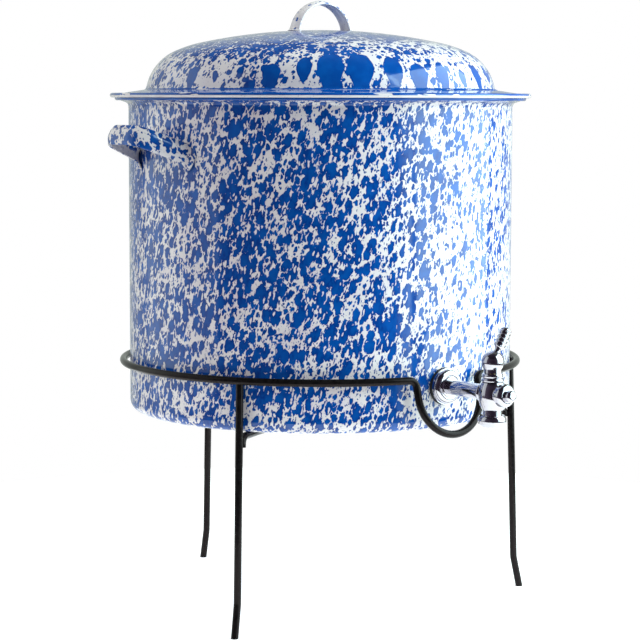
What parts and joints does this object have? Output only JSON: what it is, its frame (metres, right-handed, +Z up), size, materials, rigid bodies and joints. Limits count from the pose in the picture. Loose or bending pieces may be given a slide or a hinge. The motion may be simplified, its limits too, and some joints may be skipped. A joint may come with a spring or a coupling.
{
  "type": "water bath canner with tap and stand",
  "caption": "Straight-sided enamelled steel canner with a domed lid, strap handles and a quarter-turn tap, held in a wire stand on splayed legs.",
  "frame": {"origin": "on the ground, under the middle of the whole object's box; the pot's upright axis stands 30.7 mm behind it", "axes": "+Z up, tap points along -Y, side handles along +X and -X"},
  "size_m": [0.397, 0.4146, 0.4977],
  "materials": {
    "enamel": "glossy cobalt blue splatter on off-white enamel",
    "enamel_lid": "glossy cobalt blue splatter on off-white enamel, drawn out into drops",
    "black_wire": "satin black",
    "chrome": "polished",
    "rubber": "matte black",
    "steel": "turned",
    "brass": "turned"
  },
  "bodies": {
    "stand": {"stand_ring": "black_wire", "leg_rear": "black_wire", "leg_left": "black_wire", "leg_right": "black_wire", "spoke_rear": "black_wire", "spoke_left": "black_wire", "spoke_right": "black_wire"},
    "pot": {"pot_shell": "enamel", "handle_left": "enamel", "handle_right": "enamel", "outer_gasket": "rubber", "tap_flange": "chrome", "inner_gasket": "rubber", "inner_washer": "steel", "lock_nut": "steel", "tap_body": "chrome", "outlet_spout": "chrome", "front_plug": "chrome", "bonnet_nut": "chrome"},
    "lid": {"lid_shell": "enamel_lid", "lid_handle": "enamel_lid"},
    "tap_lever": {"valve_plug": "brass", "plug_seal_lower": "rubber", "plug_seal_upper": "rubber", "lever_hub": "chrome", "lever_screw": "steel", "lever_arm": "chrome"}
  },
  "joints": [
    {"name": "pot_lift", "type": "slide", "parent": "stand", "child": "pot", "axis": [0, 0, 1], "range_m": [0, 0.12]},
    {"name": "lid_lift", "type": "slide", "parent": "pot", "child": "lid", "axis": [0, 0, 1], "range_m": [0, 0.12]},
    {"name": "tap_turn", "type": "hinge", "parent": "pot", "child": "tap_lever", "pos_m": [0, -0.18413, 0.218], "axis": [0, 0, 1], "range_deg": [-90, 0]}
  ]
}
